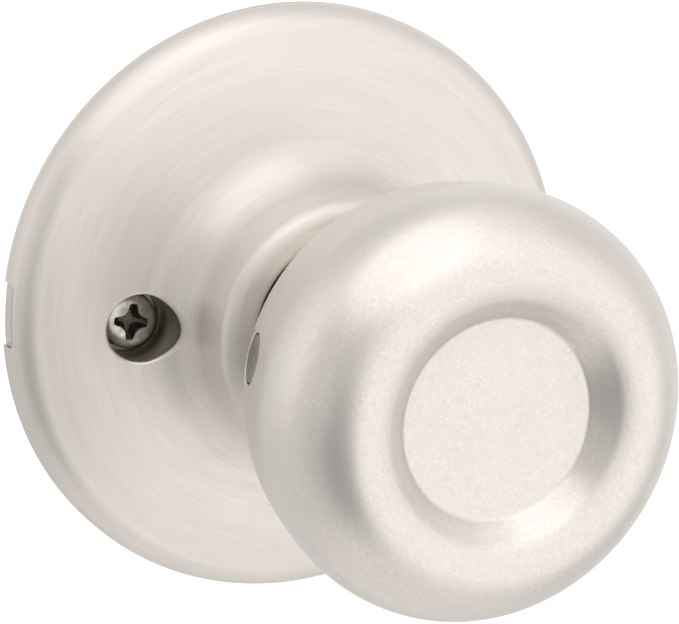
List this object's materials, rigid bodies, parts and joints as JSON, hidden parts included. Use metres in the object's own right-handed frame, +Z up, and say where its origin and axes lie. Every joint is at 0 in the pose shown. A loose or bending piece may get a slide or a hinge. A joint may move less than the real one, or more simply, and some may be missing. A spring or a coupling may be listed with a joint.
{
  "type": "door knob",
  "caption": "Satin nickel door knob half set: spun round rose with drawn screw wells, hollow dished turning knob, sprung catch, square spindle and mounting screws.",
  "frame": {"origin": "where the knob's turning axis meets the door's face", "axes": "-Y out of the door along the knob's axis, +Y into the door, +Z up, +X to the right seen from the front"},
  "size_m": [0.0761, 0.1065, 0.0762],
  "materials": {
    "rose_satin_nickel": "satin nickel plate on spun sheet, fine brushing around the axis",
    "knob_satin_nickel": "satin nickel plate on drawn sheet, brushed round the side and grained on the face",
    "plate_zinc_steel": "bright zinc plated stamping",
    "rivet_steel": "plain steel",
    "bearing_brass": "turned brass",
    "spring_steel": "drawn spring wire",
    "screw_steel": "nickel plated steel, dulled in the drive recess",
    "inner_steel": "zinc plated steel",
    "ring_black": "phosphate coated",
    "spindle_steel": "cold drawn square bar, zinc plated",
    "catch_steel": "dull tumbled steel"
  },
  "bodies": {
    "rose": {"rose_cover": "rose_satin_nickel", "mounting_plate": "plate_zinc_steel", "spring_cage": "plate_zinc_steel", "cage_rivet_1": "rivet_steel", "cage_rivet_2": "rivet_steel", "cage_rivet_3": "rivet_steel", "bearing_bush": "bearing_brass", "return_spring": "spring_steel", "mounting_screw_left": "screw_steel", "mounting_screw_right": "screw_steel"},
    "knob": {"knob_shell": "knob_satin_nickel", "knob_core": "inner_steel", "front_disc": "inner_steel", "drive_sleeve": "inner_steel", "drive_cam": "inner_steel", "thrust_washer": "bearing_brass", "retaining_ring": "ring_black", "spindle_hub": "inner_steel", "spindle": "spindle_steel", "spindle_pin": "rivet_steel"},
    "catch": {"knob_catch": "catch_steel", "catch_spring": "spring_steel"}
  },
  "joints": [
    {"name": "knob_turn", "type": "hinge", "parent": "rose", "child": "knob", "pos_m": [0, 0, 0], "axis": [0, -1, 0], "range_deg": [-60, 60], "stiffness_Nm_per_rad": 0.3, "deforming": ["return_spring"]},
    {"name": "catch_press", "type": "slide", "parent": "knob", "child": "catch", "axis": [0.9703, 0, -0.2419], "range_m": [0, 0.0022], "stiffness_N_per_m": 700, "springref_m": -0.002, "deforming": ["catch_spring"]}
  ]
}
